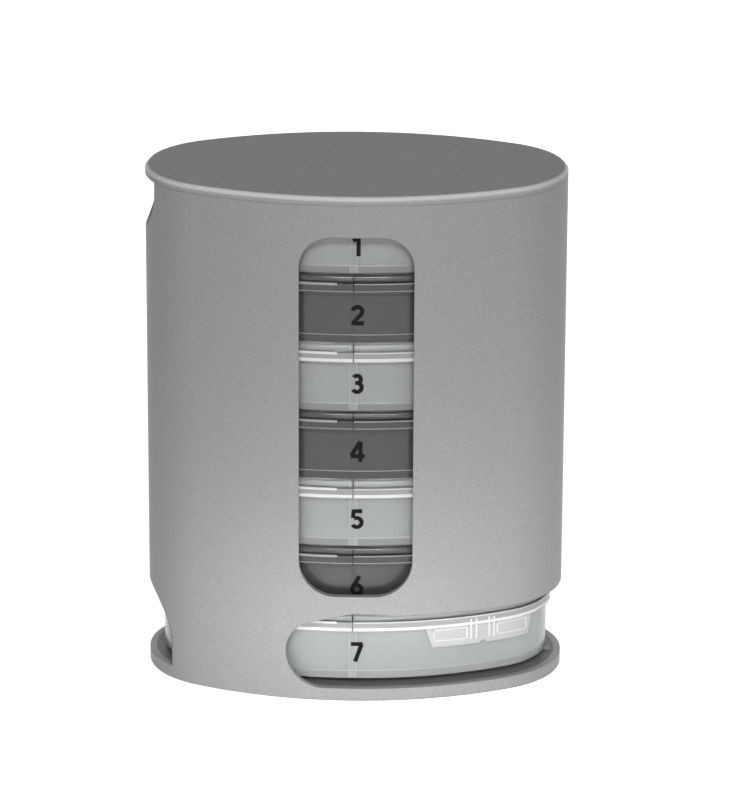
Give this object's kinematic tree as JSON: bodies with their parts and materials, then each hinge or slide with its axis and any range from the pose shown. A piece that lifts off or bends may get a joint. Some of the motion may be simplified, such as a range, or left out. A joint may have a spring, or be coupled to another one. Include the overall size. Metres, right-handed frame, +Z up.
{
  "type": "weekly pill organizer tower",
  "caption": "Oval upright tower with a front window that holds stacked day trays; each tray has lidded compartments and the lowest one slides out at the foot.",
  "frame": {"origin": "centre of the tower's footprint, on the surface it stands on", "axes": "+Z up along the tower, -Y the side with the window, +X the side where the lowest tray slides out"},
  "size_m": [0.102, 0.059, 0.1275],
  "materials": {
    "tower_plastic": "satin fine grain",
    "clear_tray_plastic": "frosted translucent",
    "smoke_tray_plastic": "smoke translucent"
  },
  "bodies": {
    "tower": {"tower_housing": "tower_plastic", "base_plate": "tower_plastic"},
    "cap": {"cap": "tower_plastic"},
    "sat_tray": {"sat_tray": "clear_tray_plastic", "sat_lid_front_left": "clear_tray_plastic", "sat_lid_front_right": "clear_tray_plastic", "sat_lid_back_left": "clear_tray_plastic", "sat_lid_back_right": "clear_tray_plastic"},
    "fri_tray": {"fri_tray": "smoke_tray_plastic", "fri_lid_front_left": "smoke_tray_plastic", "fri_lid_front_right": "smoke_tray_plastic", "fri_lid_back_left": "smoke_tray_plastic", "fri_lid_back_right": "smoke_tray_plastic"},
    "thu_tray": {"thu_tray": "clear_tray_plastic", "thu_lid_front_left": "clear_tray_plastic", "thu_lid_front_right": "clear_tray_plastic", "thu_lid_back_left": "clear_tray_plastic", "thu_lid_back_right": "clear_tray_plastic"},
    "wed_tray": {"wed_tray": "smoke_tray_plastic", "wed_lid_front_left": "smoke_tray_plastic", "wed_lid_front_right": "smoke_tray_plastic", "wed_lid_back_left": "smoke_tray_plastic", "wed_lid_back_right": "smoke_tray_plastic"},
    "tue_tray": {"tue_tray": "clear_tray_plastic", "tue_lid_front_left": "clear_tray_plastic", "tue_lid_front_right": "clear_tray_plastic", "tue_lid_back_left": "clear_tray_plastic", "tue_lid_back_right": "clear_tray_plastic"},
    "mon_tray": {"mon_tray": "smoke_tray_plastic", "mon_lid_front_left": "smoke_tray_plastic", "mon_lid_front_right": "smoke_tray_plastic", "mon_lid_back_left": "smoke_tray_plastic", "mon_lid_back_right": "smoke_tray_plastic"},
    "sun_tray": {"sun_tray": "clear_tray_plastic", "sun_lid_front_left": "clear_tray_plastic", "sun_lid_front_right": "clear_tray_plastic", "sun_lid_back_left": "clear_tray_plastic", "sun_lid_back_right": "clear_tray_plastic"}
  },
  "joints": [
    {"name": "sat_tray_slide", "type": "slide", "parent": "tower", "child": "sat_tray", "axis": [1, 0, 0], "range_m": [0, 0.1]},
    {"name": "fri_tray_lift", "type": "slide", "parent": "tower", "child": "fri_tray", "axis": [0, 0, 1], "range_m": [0, 0.02]},
    {"name": "thu_tray_lift", "type": "slide", "parent": "fri_tray", "child": "thu_tray", "axis": [0, 0, 1], "range_m": [0, 0.02]},
    {"name": "wed_tray_lift", "type": "slide", "parent": "thu_tray", "child": "wed_tray", "axis": [0, 0, 1], "range_m": [0, 0.02]},
    {"name": "tue_tray_lift", "type": "slide", "parent": "wed_tray", "child": "tue_tray", "axis": [0, 0, 1], "range_m": [0, 0.02]},
    {"name": "mon_tray_lift", "type": "slide", "parent": "tue_tray", "child": "mon_tray", "axis": [0, 0, 1], "range_m": [0, 0.02]},
    {"name": "sun_tray_lift", "type": "slide", "parent": "mon_tray", "child": "sun_tray", "axis": [0, 0, 1], "range_m": [0, 0.02]},
    {"name": "cap_lift", "type": "slide", "parent": "sun_tray", "child": "cap", "axis": [0, 0, 1], "range_m": [0, 0.03]}
  ]
}
